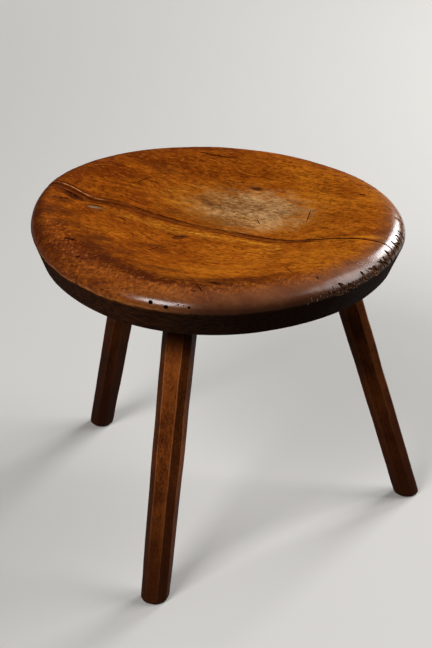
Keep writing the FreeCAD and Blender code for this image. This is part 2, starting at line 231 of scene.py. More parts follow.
class Field:
    """What a node puts out. Sums and products of such values make Math nodes."""

    def __init__(self, socket):
        self.socket = socket
        self.tree = socket.id_data

    def __getitem__(self, name):
        """Another output of the same node."""
        return Field(self.socket.node.outputs[name])

    def __add__(self, other):
        return calc("ADD", self, other)

    def __sub__(self, other):
        return calc("SUBTRACT", self, other)

    def __rsub__(self, other):
        return calc("SUBTRACT", other, self)

    def __mul__(self, other):
        return calc("MULTIPLY", self, other)

    def __truediv__(self, other):
        return calc("DIVIDE", self, other)

    def __abs__(self):
        return calc("ABSOLUTE", self)


def put(tree, kind, inputs=(), **settings):
    """Add a node to a tree, with its settings, give its inputs values or links, and return its output."""
    made = tree.nodes.new(kind)
    for name, value in settings.items():
        setattr(made, name, value)
    for key, value in dict(inputs).items():
        if isinstance(value, Field):
            tree.links.new(value.socket, made.inputs[key])
        else:
            made.inputs[key].default_value = value
    return Field(made.outputs[0])


def calc(operation, *values):
    """One value worked out from others."""
    tree = next(value.tree for value in values if isinstance(value, Field))
    return put(tree, "ShaderNodeMath", enumerate(values), operation=operation)


def ramp(value, low, high, least=0.0, most=1.0):
    """Smooth change from least to most as a value goes from low to high."""
    return put(value.tree, "ShaderNodeMapRange", {0: value, 1: low, 2: high, 3: least, 4: most},
               interpolation_type="SMOOTHSTEP")


def mixed(share, first, second):
    """A share of a second colour laid over a first."""
    return put(share.tree, "ShaderNodeMix", {0: share, 6: first, 7: second}, data_type="RGBA")[2]


def parts(vector):
    """The three numbers of a place or a direction."""
    split = put(vector.tree, "ShaderNodeSeparateXYZ", {0: vector})
    return split["X"], split["Y"], split["Z"]


def from_axis(x, y):
    """Distance from the upright axis."""
    return calc("SQRT", x * x + y * y)


def speckle(vector, stretch, detail=2.0, rough=0.5):
    """Cloudy value with so many clouds to the metre along each axis."""
    spread = put(vector.tree, "ShaderNodeVectorMath", {0: vector, 1: stretch}, operation="MULTIPLY")
    return put(vector.tree, "ShaderNodeTexNoise",
               {"Vector": spread, "Scale": 1.0, "Detail": detail, "Roughness": rough})


def bumped(height, strength, depth):
    """Small relief of a surface."""
    return put(height.tree, "ShaderNodeBump", {"Height": height, "Strength": strength, "Distance": depth})


def new_tree(name, kind, inputs, outputs):
    """Start a node group with named sockets: the tree, what comes in and where results go."""
    tree = bpy.data.node_groups.new(name, kind)
    for in_out, sockets in (("INPUT", inputs), ("OUTPUT", outputs)):
        for label, socket_type in sockets.items():
            tree.interface.new_socket(label, in_out=in_out, socket_type=socket_type)
    given = tree.nodes.new("NodeGroupInput")
    return tree, Field(given.outputs[0]), tree.nodes.new("NodeGroupOutput").inputs


def new_finish(name):
    """Start a material: the material, its tree and its shader."""
    material = bpy.data.materials.new(name)
    material.use_nodes = True
    return material, material.node_tree, material.node_tree.nodes["Principled BSDF"]


def send(sockets, **values):
    """Link values to named sockets of a group or a shader, or set plain ones there."""
    for label, value in values.items():
        socket = sockets[label.replace("_", " ")]
        if isinstance(value, Field):
            value.tree.links.new(value.socket, socket)
        else:
            socket.default_value = value


FIGURES = ("Rings", "Streaks", "Flecks", "Pores", "Blotches")


def grain_group():
    """Figure of an old hardwood whose grain runs along X: rings, streaks, flecks, pores and blotches."""
    tree, given, result = new_tree("hardwood_grain", "ShaderNodeTree", {"Vector": "NodeSocketVector"},
                                   dict.fromkeys(FIGURES, "NodeSocketFloat"))
    vector = given["Vector"]
    wander = put(tree, "ShaderNodeTexNoise", {"Vector": vector, "Scale": 7.0, "Detail": 2.0})["Color"]
    drift = put(tree, "ShaderNodeVectorMath", {0: wander, 1: (0.0, 0.014, 0.014), 2: vector},
                operation="MULTIPLY_ADD")
    log = put(tree, "ShaderNodeMapping",
              {"Vector": drift, "Location": (0.0, 0.05, 0.16), "Scale": (0.12, 1.0, 1.0)})
    rings = put(tree, "ShaderNodeTexWave", {"Vector": log, "Scale": 46.0, "Distortion": 5.0, "Detail": 3.0,
                                            "Detail Scale": 0.8}, wave_type="RINGS", rings_direction="X")
    short_pores = ramp(speckle(drift, (180, 560, 560), 2.0), 0.52, 0.62)
    crowded = ramp(speckle(vector, (24, 40, 40), 3.0), 0.38, 0.62, 0.30, 1.0)
    send(result, Rings=rings["Fac"], Streaks=speckle(drift, (70, 440, 440), 5.0, 0.66),
         Flecks=speckle(drift, (165, 350, 350), 4.0, 0.70), Pores=short_pores * crowded,
         Blotches=speckle(vector, (14, 26, 26), 6.0, 0.68))
    return tree


def knocks_group():
    """Fine scratches in two directions and small dark knocks, from years of handling."""
    tree, given, result = new_tree("handling_marks", "ShaderNodeTree", {"Vector": "NodeSocketVector"},
                                   {"Scratches": "NodeSocketFloat", "Knocks": "NodeSocketFloat"})

    def lines(turn, stretch):
        turned = put(tree, "ShaderNodeMapping", {"Vector": given["Vector"], "Rotation": (0, 0, turn)})
        level = abs(speckle(turned, stretch, 1.0) - 0.5)
        return ramp(level, 0.012, 0.0) * ramp(speckle(turned, (30, 30, 30), 2.0), 0.52, 0.66)

    send(result, Scratches=calc("MAXIMUM", lines(0.5, (14, 260, 90)), lines(-0.9, (18, 300, 90))),
         Knocks=ramp(speckle(given["Vector"], (120, 120, 120), 1.0), 0.735, 0.79))
    return tree


grain, knocks = grain_group(), knocks_group()


def figured(vector):
    """The five values of the grain at a place."""
    figure = put(vector.tree, "ShaderNodeGroup", {"Vector": vector}, node_tree=grain)
    return [figure[name] for name in FIGURES]


# The rear board comes from further along the log, so its figure is shifted
REAR_LOG_SHIFT = (0.7, 0.0, 0.05)
# How far in from the outline the dark band and the painted glints and dark specks lie, and the height of
# the pale arris line, partly worn and partly a painted highlight
BAND_INSET, GLINT_INSET, ARRIS_LINE_LEVEL = 0.037, 0.021, 0.0287
# Where an oval mark begins and is full, as a share of its half sizes
STAIN_EDGE = (1.3, 0.35)
# Ovals of the finish: place, half length, half width, turn in degrees and, for some, how ragged
WORN_PATCH = (0.016, 0.060, 0.060, 0.040, 2, 1.3)
WORN_MARGIN = (0.004, 0.054, 0.086, 0.044, 2, 1.3)
KNOT_RING = (-0.128, -0.0120, 0.015, 0.0080, 6)
KNOT = (-0.128, -0.0130, 0.0095, 0.0044, 6)
DULLED_RIM = (0.118, -0.138, 0.085, 0.034, 40, 1.6)
# Stains and bruises on the top: place, half length, half width, turn in degrees and depth of tone
STAINS = [
    (-0.028, -0.024, 0.011, 0.0045, 40, 0.75), (-0.042, -0.056, 0.011, 0.004, 30, 0.55),
    (-0.154, -0.003, 0.018, 0.0055, -4, 0.90), (-0.160, -0.024, 0.012, 0.008, 30, 0.6),
    (-0.136, -0.084, 0.010, 0.0080, 0, 0.5), (0.056, -0.146, 0.010, 0.0045, 5, 0.7),
    (-0.109, -0.113, 0.007, 0.003, 0, 0.8), (-0.142, -0.118, 0.006, 0.003, 20, 0.6),
    (0.120, 0.108, 0.006, 0.003, 0, 0.5), (-0.080, -0.105, 0.040, 0.020, -12, 0.4),
    (-0.010, -0.128, 0.030, 0.010, 0, 0.5), (0.006, 0.103, 0.007, 0.0036, 0, 0.85),
    (0.060, -0.140, 0.022, 0.009, 0, 0.45), (-0.095, 0.095, 0.030, 0.010, 4, 0.35),
    (-0.034, 0.064, 0.015, 0.007, -20, 0.45), (-0.150, -0.055, 0.022, 0.016, 20, 0.45),
    (-0.120, -0.075, 0.022, 0.014, 0, 0.40), (-0.085, -0.085, 0.020, 0.008, 10, 0.55),
    (0.122, 0.0155, 0.030, 0.0012, 12, 0.6), (0.086, 0.0060, 0.018, 0.0016, 2, 0.6),
]
# Paler streaks beside the joint, measured in the same way: pale grain, and along the joint partly a painted
# highlight where the front board's edge catches the light
GOLD_STREAKS_AND_HIGHLIGHT = [
    (-0.009, -0.009, 0.026, 0.0022, 1, 0.95), (0.051, -0.0055, 0.020, 0.0016, 1, 0.85),
    (0.060, -0.018, 0.018, 0.0018, 14, 0.85),
    (-0.025, -0.010, 0.090, 0.0085, 2, 0.42), (0.152, 0.0140, 0.022, 0.0026, 6, 0.75),
    (-0.071, 0.064, 0.020, 0.0014, 26, 0.45), (0.165, 0.0170, 0.010, 0.0040, 20, 0.60),
    (0.020, 0.048, 0.022, 0.0026, -4, 0.30), (-0.055, 0.046, 0.022, 0.0024, 8, 0.40),
]


def seat_finish():
    """Old wax over orange-brown wood: worn pale in the hollow, dark and glossy on the rim, with painted
    highlights, glints, sheen and shade in places.
    """
    material, tree, shader = new_finish("waxed_seat_wood")
    seat = put(tree, "ShaderNodeMapping", {
        "Vector": put(tree, "ShaderNodeTexCoord")["Object"], "Location": seat_place.translation,
        "Rotation": (0, SEAT_LEAN, 0)}, vector_type="TEXTURE")
    x, y, z = parts(seat)
    rear = calc("GREATER_THAN", y, JOINT_OFFSET)
    board = put(tree, "ShaderNodeVectorMath", {0: rear, 1: REAR_LOG_SHIFT, 2: seat},
                operation="MULTIPLY_ADD")
    rings, streaks, flecks, pores, blotches = figured(board)
    handled = put(tree, "ShaderNodeGroup", {"Vector": seat}, node_tree=knocks)
    fray = speckle(seat, (60, 110, 110), 4.0, 0.6) - 0.5

    # The rim is found from how far a place lies inside the three-cornered outline
    lobes = calc("COSINE", (calc("ARCTAN2", y, x) - CORNER_TURN) * 3.0)
    inset = lobes * CORNER_REACH + SEAT_WIDTH / 2 - from_axis(x, y)
    frayed = fray * 0.022 + inset

    def stain(place_x, place_y, half_length, half_width, turn, ragged=2.2):
        """Share of an oval mark with a ragged edge."""
        along, across, _ = parts(put(tree, "ShaderNodeMapping", {
            "Vector": seat, "Location": (place_x, place_y, 0), "Rotation": (0, 0, radians(turn)),
            "Scale": (half_length, half_width, 1)}, vector_type="TEXTURE"))
        return ramp(fray * ragged + from_axis(along, across), *STAIN_EDGE)

    # Bare tone of the wood, from dark red-brown to gold, with its streaks, rings and pores
    tone = x * 0.75 + blotches + (streaks - 0.5) * 0.45
    colour = mixed(ramp(tone, 0.30, 0.50), paint(114, 49, 8), paint(152, 76, 13))
    colour = mixed(ramp(tone, 0.48, 0.70), colour, paint(186, 105, 22))
    colour = mixed(ramp(rings, 0.45, 1.0, 0.0, 0.22), colour, paint(98, 40, 4))
    colour = mixed(ramp(streaks, 0.48, 0.28, 0.0, 0.50), colour, paint(80, 32, 4))
    colour = mixed(ramp(streaks, 0.56, 0.74, 0.0, 0.45), colour, paint(206, 122, 30))
    colour = mixed(ramp(flecks, 0.48, 0.32, 0.0, 0.70), colour, paint(82, 32, 3))
    colour = mixed(ramp(flecks, 0.54, 0.70, 0.0, 0.44), colour, paint(212, 124, 34))
    colour = mixed(pores * 0.60, colour, paint(66, 26, 6))

    # The hollow behind the joint is worn to grey-gold wood
    worn = stain(*WORN_PATCH)
    colour = mixed(stain(*WORN_MARGIN) * 0.40, colour, paint(184, 120, 38))
    greyed = ramp(blotches + flecks, 0.80, 1.20)
    colour = mixed(worn * 0.74, colour, mixed(greyed, paint(102, 70, 40), paint(206, 164, 112)))
    colour = mixed(worn * pores * 0.5, colour, paint(66, 38, 20))

    # Gold streaks, partly a painted highlight beside the joint, stains, and a pale knot in its dark ring
    lit = ramp(flecks, 0.36, 0.62, 0.15, 1.1)
    for *lie, depth in GOLD_STREAKS_AND_HIGHLIGHT:
        colour = mixed(stain(*lie) * depth * lit, colour, paint(208, 134, 36))
    for *lie, depth in STAINS:
        colour = mixed(stain(*lie) * depth, colour, paint(62, 27, 13))
    colour = mixed(stain(*KNOT_RING) * 0.70, colour, paint(72, 32, 14))
    colour = mixed(stain(*KNOT) * ramp(flecks, 0.40, 0.56, 0.15, 0.85), colour, paint(160, 136, 104))

    # The dark band inside the front rim, a bruised place at its left, and outside it short strokes: the
    # pale ones are painted glints of the waxed roll, the dark ones specks
    band = ramp(abs(frayed - BAND_INSET), 0.022, 0.006) * ramp(y, -0.06, -0.11)
    band = band * ramp(x, 0.15, 0.05, 0.35, 1.0) * ramp(x, -0.125, -0.06, 0.3, 1.0)
    band = band * ramp(flecks + blotches, 1.18, 0.84, 0.52, 1.0)
    colour = mixed(band, colour, paint(72, 29, 10))
    bruised = ramp(fray * 0.5 + blotches, 0.52, 0.36) * ramp(x, 0.0, -0.09) * ramp(y, 0.0, -0.05)
    colour = mixed(bruised * ramp(flecks, 0.62, 0.40, 0.05, 0.48), colour, paint(84, 36, 14))
    glints_and_specks = speckle(seat, (520, 170, 300), 3.0, 0.65)
    glint_and_speck_zone = ramp(abs(frayed - GLINT_INSET), 0.020, 0.008) * ramp(y, -0.04, -0.10)
    # Pale strokes: painted glints
    colour = mixed(glint_and_speck_zone * ramp(glints_and_specks, 0.54, 0.68, 0.0, 0.50), colour, paint(212, 118, 50))
    colour = mixed(glint_and_speck_zone * ramp(glints_and_specks, 0.49, 0.36, 0.0, 0.70), colour, paint(90, 35, 11))

    # The strip of grime along the joint with its darker edges, the open crevice painted near-black as the
    # shade inside the crack, and the pale left lip, a worn edge with a painted highlight
    strip = abs(fray * 0.004 + y - STRIP_OFFSET)
    strip_half = ramp(x, 0.05, 0.11, 0.0040, 0.0022) + ramp(x, -0.075, -0.115, 0.0, 0.0022)
    strip_ends = ramp(x, 0.145, 0.09)
    grime = ramp(strip - strip_half, 0.0008, -0.0006) * strip_ends * ramp(flecks, 0.30, 0.62, 0.85, 0.45)
    colour = mixed(grime, colour, paint(98, 44, 14))
    edges = ramp(abs(strip - strip_half), 0.0015, 0.0004) * strip_ends
    edges = edges * ramp(speckle(seat, (45, 20, 20), 2.0), 0.38, 0.55, 0.35, 0.95)
    colour = mixed(edges, colour, paint(54, 20, 5))
    # Painted shade inside the open crack, mostly towards the right end of the joint
    painted_crack_shade = ramp(abs(y - JOINT_OFFSET), 0.0016, 0.0008) * ramp(x, 0.080, 0.125, 0.15, 1.0)
    colour = mixed(painted_crack_shade, colour, paint(24, 9, 3))
    # Pale lip on the rear board's edge at the left end: worn, and partly a painted highlight where the step
    # catches the light
    lip = ramp(abs(y - (JOINT_OFFSET + 0.0016)), 0.0009, 0.0003) * ramp(x, -0.120, -0.136)
    lip = lip * ramp(inset, 0.001, 0.006) * ramp(fray * 0.8 + flecks, 0.36, 0.58, 0.10, 0.85)
    colour = mixed(lip, colour, paint(208, 140, 84))
    colour = mixed(handled["Knocks"] * 0.55, colour, paint(50, 22, 9))
    colour = mixed(handled["Scratches"] * 0.35, colour, paint(66, 28, 10))

    # Old polish on the rim, its lighter mauve tone partly a painted sheen; painted shade on the lower roll
    # at the right; and the rough side, darkened with painted shade, and the underside
    rightward = x - y * 0.5
    right = ramp(rightward, 0.05, 0.19, 0.06, 0.90)
    # Rim colour: dark old polish, its paler mauve end a painted sheen
    polish_and_sheen = mixed(blotches, paint(68, 35, 21), paint(138, 86, 58))
    colour = mixed(ramp(frayed, 0.036, 0.008) * right, colour, polish_and_sheen)
    left_rim = ramp(frayed, 0.018, 0.002) * ramp(x, -0.08, -0.15, 0.0, 0.6)
    colour = mixed(left_rim, colour, paint(82, 32, 5))
    outside = ramp(inset, 0.024, 0.020)
    level = fray * 0.006 + z
    shade = ramp(level, 0.0420, 0.0310) * right * outside
    colour = mixed(shade * 0.92, colour, paint(36, 15, 8))
    # A pale line along the arris at the left and front: worn edge, and partly a painted highlight
    arris_wear_and_highlight = ramp(abs(level - ARRIS_LINE_LEVEL), 0.0011, 0.0003) * (0.75 - right) * outside
    colour = mixed(arris_wear_and_highlight * ramp(streaks, 0.36, 0.56, 0.25, 1.1), colour, paint(184, 116, 64))
    # The side below the arris: dark rough-sawn wood deepened with painted shade, near black towards the
    # right
    low = ramp(level, right * 0.003 + 0.0290, 0.0258) * outside
    sawn_and_shaded = mixed(ramp(streaks, 0.3, 0.7), paint(24, 12, 6), paint(74, 40, 19))
    colour = mixed(low, colour, mixed(right * 0.8, sawn_and_shaded, paint(18, 10, 5)))
    under = ramp(z, 0.0030, 0.0008)
    colour = mixed(under, colour, mixed(ramp(tone, 0.3, 0.7), paint(58, 34, 18), paint(112, 74, 42)))

    # Wax shines most on the handled rim, and the pores, scratches and worn places break its surface
    dull = streaks * 0.20 + 0.42 + low * 0.12 + worn * 0.10 + under * 0.20
    wax = calc("MAXIMUM", ramp(frayed, 0.034, 0.014) * ramp(rightward, -0.10, 0.05, 0.25, 1.0), 0.10)
    wax = wax * (1.0 - pores * 0.35) * (1.0 - stain(*DULLED_RIM) * 0.55)
    wax = wax * (1.0 - worn * 0.55) * (1.0 - painted_crack_shade)
    wax = wax * calc("MAXIMUM", ramp(z, 0.0275, 0.034, 0.05, 1.0), ramp(inset, 0.02, 0.03))
    relief = (flecks + streaks) * 0.7 - pores * 0.8 + fray * 0.8
    relief = relief - handled["Scratches"] * 0.25 - handled["Knocks"]
    send(shader.inputs, Base_Color=colour, Roughness=dull, Coat_Weight=wax,
         Normal=bumped(relief, 0.5, 0.0005), Specular_IOR_Level=0.0, Coat_Roughness=0.23)
    return material


def plain_mesh(name, tree, values, start=None):
    """Run a tree with its named values and keep the result as a plain mesh object."""
    piece = bpy.data.objects.new(name, start or bpy.data.meshes.new(f"{name}_start"))
    bpy.context.scene.collection.objects.link(piece)
    worker = piece.modifiers.new(tree.name, "NODES")
    worker.node_group = tree
    for socket in tree.interface.items_tree:
        if socket.in_out == "INPUT" and socket.name in values:
            worker[socket.identifier] = values[socket.name]
    bpy.context.view_layer.update()
    ready = piece.evaluated_get(bpy.context.evaluated_depsgraph_get())
    mesh = bpy.data.meshes.new_from_object(ready)
    piece.modifiers.remove(worker)
    piece.data = mesh
    mesh.name = name
    return piece


# Splits, scratches and bruises of the top: place, run in degrees from the grain, half length,
# half width and depth
GOUGES = [
    (-0.056, 0.143, 3, 0.019, 0.0012, 0.0034), (-0.107, 0.064, 63, 0.017, 0.0005, 0.0007),
    (0.108, -0.083, -54, 0.017, 0.0005, 0.0007), (0.078, 0.062, -83, 0.013, 0.0006, 0.0007),
    (0.048, -0.163, -51, 0.010, 0.0008, 0.0010), (0.142, -0.096, -46, 0.0045, 0.0011, 0.0018),
    (-0.026, -0.020, 30, 0.0045, 0.0012, 0.0009), (-0.034, -0.026, 55, 0.0050, 0.0009, 0.0008),
    (-0.042, -0.022, 85, 0.0050, 0.0005, 0.0006),
    (-0.040, -0.066, 75, 0.010, 0.0009, 0.0007), (-0.034, -0.056, 60, 0.006, 0.0007, 0.0006),
    (-0.156, -0.001, 2, 0.0100, 0.0026, 0.0022), (-0.158, -0.016, 40, 0.0030, 0.0016, 0.0014),
    (-0.162, -0.021, 60, 0.0026, 0.0014, 0.0014), (-0.130, -0.0085, 4, 0.0090, 0.0012, 0.0014),
    (-0.084, -0.148, 0, 0.0028, 0.0014, 0.0018), (-0.077, -0.150, 10, 0.0040, 0.0008, 0.0010),
    (0.056, -0.146, 5, 0.0060, 0.0014, 0.0012), (0.044, -0.170, 0, 0.0030, 0.0014, 0.0014),
    (0.030, 0.044, -55, 0.007, 0.0006, 0.0010),
    (-0.109, -0.115, 5, 0.006, 0.0018, 0.0022), (-0.141, -0.119, 20, 0.0045, 0.0018, 0.0020),
    (0.120, 0.108, 0, 0.004, 0.0011, 0.0010), (0.146, 0.0080, 0, 0.022, 0.0008, 0.0040),
]
# The open end of the joint, over the right rim: share of the way down the roll and half length
OPEN_JOINT = [(0.10, 0.0036), (0.33, 0.0033), (0.53, 0.0029), (0.70, 0.0023)]
JOINT_END_TURN = 2.5
OPEN_JOINT_SINK, OPEN_JOINT_HALF_WIDTH, OPEN_JOINT_DEPTH = 0.0006, 0.0009, 0.0030
# Worm holes of the rim: turn round the seat in degrees, share of the way down the roll, radius and depth
WORM_HOLES = [(-87.0, 0.722, 0.0023, 0.007), (-82.4, 0.803, 0.0023, 0.007), (-75.9, 0.744, 0.0014, 0.005),
              (-79.1, 0.687, 0.0009, 0.004), (-77.5, 0.706, 0.0007, 0.003), (-113.0, 0.90, 0.0010, 0.004)]
WORM_OVAL = 0.8
# Splinters torn from the right rim: turn and share as above, run in degrees from the grain, half length,
# half width and depth
SPLINTERS = [(-11, 0.80, 0, 0.0065, 0.0046, 0.0028), (-6, 0.72, 38, 0.0100, 0.0016, 0.0024),
             (-12, 0.70, 40, 0.0085, 0.0014, 0.0022), (8, 0.66, 55, 0.0070, 0.0012, 0.0020)]
# Chips along the right rim: how many over which turns, how far each strays from its turn, the line that
# they follow down the roll and drift from, how far they run off the grain, and their least and added sizes
CHIP_SEED = 11
CHIP_TURNS, CHIP_COUNT, CHIP_STRAY = (-32, 27), 40, (-0.9, 0.9)
CHIP_LINE = ([-35, -15, 0, 12, 28], [0.93, 0.84, 0.74, 0.62, 0.60])
CHIP_DRIFT, CHIP_SWEEP = (-0.1, 0.1), 0.3
CHIP_LEAST, CHIP_GROWTH = np.array([0.0020, 0.0006, 0.0010]), np.array([0.0085, 0.0018, 0.0022])
# Scrapes at the front right, measured in the same way
SCRAPE_TURNS, SCRAPE_COUNT, SCRAPE_STRAY = (-40, -8), 28, (-0.8, 0.8)
SCRAPE_LINE, SCRAPE_DRIFT, SCRAPE_SWEEP = (0.88, 0.72), (-0.14, 0.12), (-0.1, 0.5)
SCRAPE_LENGTHS, SCRAPE_HALF_WIDTH, SCRAPE_DEPTH = (0.0014, 0.0050), 0.0006, 0.0009
# How far the tools' unevenness lowers the top, and draws in and lowers the rim
TOP_SINK, RIM_DRAW_IN, RIM_SINK = 0.0005, 0.0005, 0.0004


def top_spot(x, y):
    """Place on the worn top and the way straight out of it."""
    side = 1 if y > JOINT_OFFSET else -1

    def height(a, b):
        dish = dish_height(np.array(np.hypot(a, b)))
        return float(dish + top_wear(np.array(a), np.array(b), side)) - TOP_SINK

    reach = 0.001
    tilt_x = (height(x + reach, y) - height(x - reach, y)) / (2 * reach)
    tilt_y = (height(x, y + reach) - height(x, y - reach)) / (2 * reach)
    return Vector((x, y, height(x, y))), Vector((-tilt_x, -tilt_y, 1)).normalized()


def rim_spot(turn, share):
    """Place on the rolled rim, by the turn round the seat and the share of the way down the roll."""
    way = np.array([cos(radians(turn)), sin(radians(turn))])
    inset, height, tilt = rim_roll(way, share)
    reach = outline_reach(way[None], np.zeros(2), inset)[0] - RIM_DRAW_IN
    return Vector((*(way * reach), height - RIM_SINK)), Vector((*(way * sin(tilt)), cos(tilt)))


def level_way(turn, rise=0.0):
    """Direction at a turn in degrees from the grain."""
    return Vector((cos(radians(turn)), sin(radians(turn)), rise))


def cutter_tree():
    """Ragged ovals set on points, each turned and sized by the point's own run, facing and size."""
    tree, given, result = new_tree("cut_marks", "GeometryNodeTree", {
        "Marks": "NodeSocketGeometry", "Raggedness": "NodeSocketFloat", "Seed": "NodeSocketFloat",
        "Wood": "NodeSocketMaterial"}, {"Geometry": "NodeSocketGeometry"})

    def kept(label):
        return put(tree, "GeometryNodeInputNamedAttribute", {"Name": label}, data_type="FLOAT_VECTOR")

    turn = put(tree, "FunctionNodeAxesToRotation", {0: kept("facing"), 1: kept("run")},
               primary_axis="Z", secondary_axis="X")
    oval = put(tree, "GeometryNodeMeshIcoSphere", {"Radius": 1.0, "Subdivisions": 3})
    spread = put(tree, "GeometryNodeInstanceOnPoints", {
        "Points": given["Marks"], "Instance": oval, "Rotation": turn, "Scale": kept("size")})
    whole = put(tree, "GeometryNodeRealizeInstances", {"Geometry": spread})
    place = put(tree, "GeometryNodeInputPosition")
    shake = put(tree, "ShaderNodeTexNoise", {
        "Vector": place, "W": given["Seed"], "Scale": 420.0, "Detail": 2.0}, noise_dimensions="4D")["Color"]
    centred = put(tree, "ShaderNodeVectorMath", {0: shake, 1: (0.5, 0.5, 0.5)}, operation="SUBTRACT")
    shift = put(tree, "ShaderNodeVectorMath", {0: centred, "Scale": given["Raggedness"]}, operation="SCALE")
    ragged = put(tree, "GeometryNodeSetPosition", {"Geometry": whole, "Offset": shift})
    joined = put(tree, "GeometryNodeMeshBoolean", {"Mesh 2": ragged, "Self Intersection": True},
                 operation="UNION", solver="EXACT")
    solid = put(tree, "GeometryNodeRealizeInstances", {"Geometry": joined})
    done = put(tree, "GeometryNodeSetMaterial", {"Geometry": solid, "Material": given["Wood"]})
    send(result, Geometry=done)
    return tree


def mark_points(name, marks):
    """Points in the seat's place, with the facing, run and size of each mark."""
    places, facings, runs, sizes = zip(*marks)
    mesh = bpy.data.meshes.new(name)
    mesh.from_pydata([seat_place @ place for place in places], [], [])
    lean = seat_place.to_3x3()
    for label, values in (("facing", [lean @ facing for facing in facings]),
                          ("run", [lean @ run for run in runs]), ("size", sizes)):
        layer = mesh.attributes.new(label, "FLOAT_VECTOR", "POINT")
        layer.data.foreach_set("vector", [part for value in values for part in value])
    return mesh


def cut_finish(name, dark, light):
    """Broken wood inside a mark, from dark grime to pale fibre along the grain."""
    material, tree, shader = new_finish(name)
    fibres = speckle(put(tree, "ShaderNodeTexCoord")["Object"], (130, 900, 900), 3.0, 0.6)
    send(shader.inputs, Base_Color=mixed(ramp(fibres, 0.44, 0.64), paint(*dark), paint(*light)),
         Normal=bumped(fibres, 0.7, 0.0006), Roughness=0.75, Specular_IOR_Level=0.0)
    return material


splits = [(*top_spot(x, y), level_way(turn), size) for x, y, turn, *size in GOUGES]
for turn, share, radius, depth in WORM_HOLES:
    splits.append((*rim_spot(turn, share), level_way(0), (radius, radius * WORM_OVAL, depth)))
for share, half_length in OPEN_JOINT:
    place, facing = rim_spot(JOINT_END_TURN, share)
    place = Vector((place.x, JOINT_OFFSET, place.z - OPEN_JOINT_SINK))
    splits.append((place, facing, Vector((facing.z, 0, -facing.x)),
                   (half_length, OPEN_JOINT_HALF_WIDTH, OPEN_JOINT_DEPTH)))
chips = [(*rim_spot(turn, share), level_way(run), size) for turn, share, run, *size in SPLINTERS]
dice = np.random.default_rng(CHIP_SEED)
for turn in np.linspace(*CHIP_TURNS, CHIP_COUNT) + dice.uniform(*CHIP_STRAY, CHIP_COUNT):
    share = np.interp(turn, *CHIP_LINE) + dice.uniform(*CHIP_DRIFT)
    size = CHIP_LEAST + dice.uniform() ** 2 * CHIP_GROWTH
    chips.append((*rim_spot(turn, share), Vector((1, CHIP_SWEEP * sin(radians(turn)), 0)), tuple(size)))
scrapes = []
for turn in np.linspace(*SCRAPE_TURNS, SCRAPE_COUNT) + dice.uniform(*SCRAPE_STRAY, SCRAPE_COUNT):
    share = np.interp(turn, SCRAPE_TURNS, SCRAPE_LINE) + dice.uniform(*SCRAPE_DRIFT)
    run = level_way(turn, -1) + Vector((0, dice.uniform(*SCRAPE_SWEEP), 0))
    size = (dice.uniform(*SCRAPE_LENGTHS), SCRAPE_HALF_WIDTH, SCRAPE_DEPTH)
    scrapes.append((*rim_spot(turn, share), run, size))

# Kinds of mark: their places, raggedness and seed, and the dark and light of the wood inside
MARK_KINDS = {
    "split": (splits, 0.0006, 2.0, "grimed_cut_wood", (36, 15, 5), (100, 47, 15)),
    "chip": (chips, 0.0012, 5.0, "torn_rim_wood", (48, 27, 15), (156, 116, 86)),
    "scrape": (scrapes, 0.0004, 8.0, "scraped_rim_wood", (70, 48, 36), (182, 156, 136)),
}
mark_tree = cutter_tree()
cutters = []
for kind, (marks, raggedness, seed, wood, dark, light) in MARK_KINDS.items():
    cutters.append(plain_mesh(f"{kind}_marks", mark_tree, {
        "Raggedness": raggedness, "Seed": seed, "Wood": cut_finish(wood, dark, light)},
        mark_points(f"{kind}_places", marks)))
seat_wood = seat_finish()
for node_name, board in boards.items():
    board.data.materials.append(seat_wood)
    for cutter in cutters:
        cut = board.modifiers.new(cutter.name, "BOOLEAN")
        cut.operation, cut.object, cut.solver = "DIFFERENCE", cutter, "MANIFOLD"
        cut.material_mode = "TRANSFER"
    bpy.context.view_layer.update()
    ready = board.evaluated_get(bpy.context.evaluated_depsgraph_get())
    cut_mesh = bpy.data.meshes.new_from_object(ready)
    board.modifiers.clear()
    board.data = cut_mesh
    cut_mesh.set_sharp_from_angle(angle=SEAT_SHARP_EDGE)
    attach(board, "root")
    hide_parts(node_name)
for cutter in cutters:
    bpy.data.objects.remove(cutter)

# Legs: three billets of the same hardwood, shaved by hand to eight flats that taper a little towards
# the foot. Each has a round tenon that goes blind into the seat, a shoulder scribed to its underside
# and an end sawn flat to the floor and worn round.
SOCKET_RADIUS = 0.123
TENON_WIDTH = 0.020
TENON_LENGTH = 0.022
FOOT_EASE = 0.0045
FOOT_CORNER, SHOULDER_CORNER = 0.28, 0.23
LEG_ARRIS = 0.0005
SHAVE_DEPTH = 0.0022
# Waves of the shaving along a leg and the level over which nothing is taken, then the steps between the
# patterns of neighbouring flats, of the two sets of four flats and of the legs
SHAVE_WAVES, SHAVE_LEVEL = 5.0, 0.62
FACET_STEP, FLAT_STEP, LEG_STEP = 7.3, 40, 3.7
FOOT_WEAR_POWER = 14.0
LEG_GRAIN_SCALE = (1.6, 1.6, 1.6)
# Heights between which painted shade of the seat darkens the top of the leg, the leg grows darker towards
# the foot, and dust lies at the sole
SHOULDER_SHADE, FOOT_DARKENING, SOLE_DUST = (0.236, 0.272), (0.17, 0.02), (0.022, 0.004)
LEG_COLUMNS, LEG_ROWS, EASE_ROWS = 256, 150, 6
LEG_SHARP_EDGE = radians(24)
# The socket's turn round the seat is in degrees, and darkness is the share of painted shade laid over each
# leg
LEG_SIZES = {
    "front": {"socket_turn": -83.4, "foot_width": 0.0275, "shoulder_width": 0.0315, "darkness": 0.20},
    "right": {"socket_turn": 23.0, "foot_width": 0.0255, "shoulder_width": 0.0275, "darkness": 0.62},
    "left": {"socket_turn": 152.4, "foot_width": 0.0255, "shoulder_width": 0.0285, "darkness": 0.80},
}


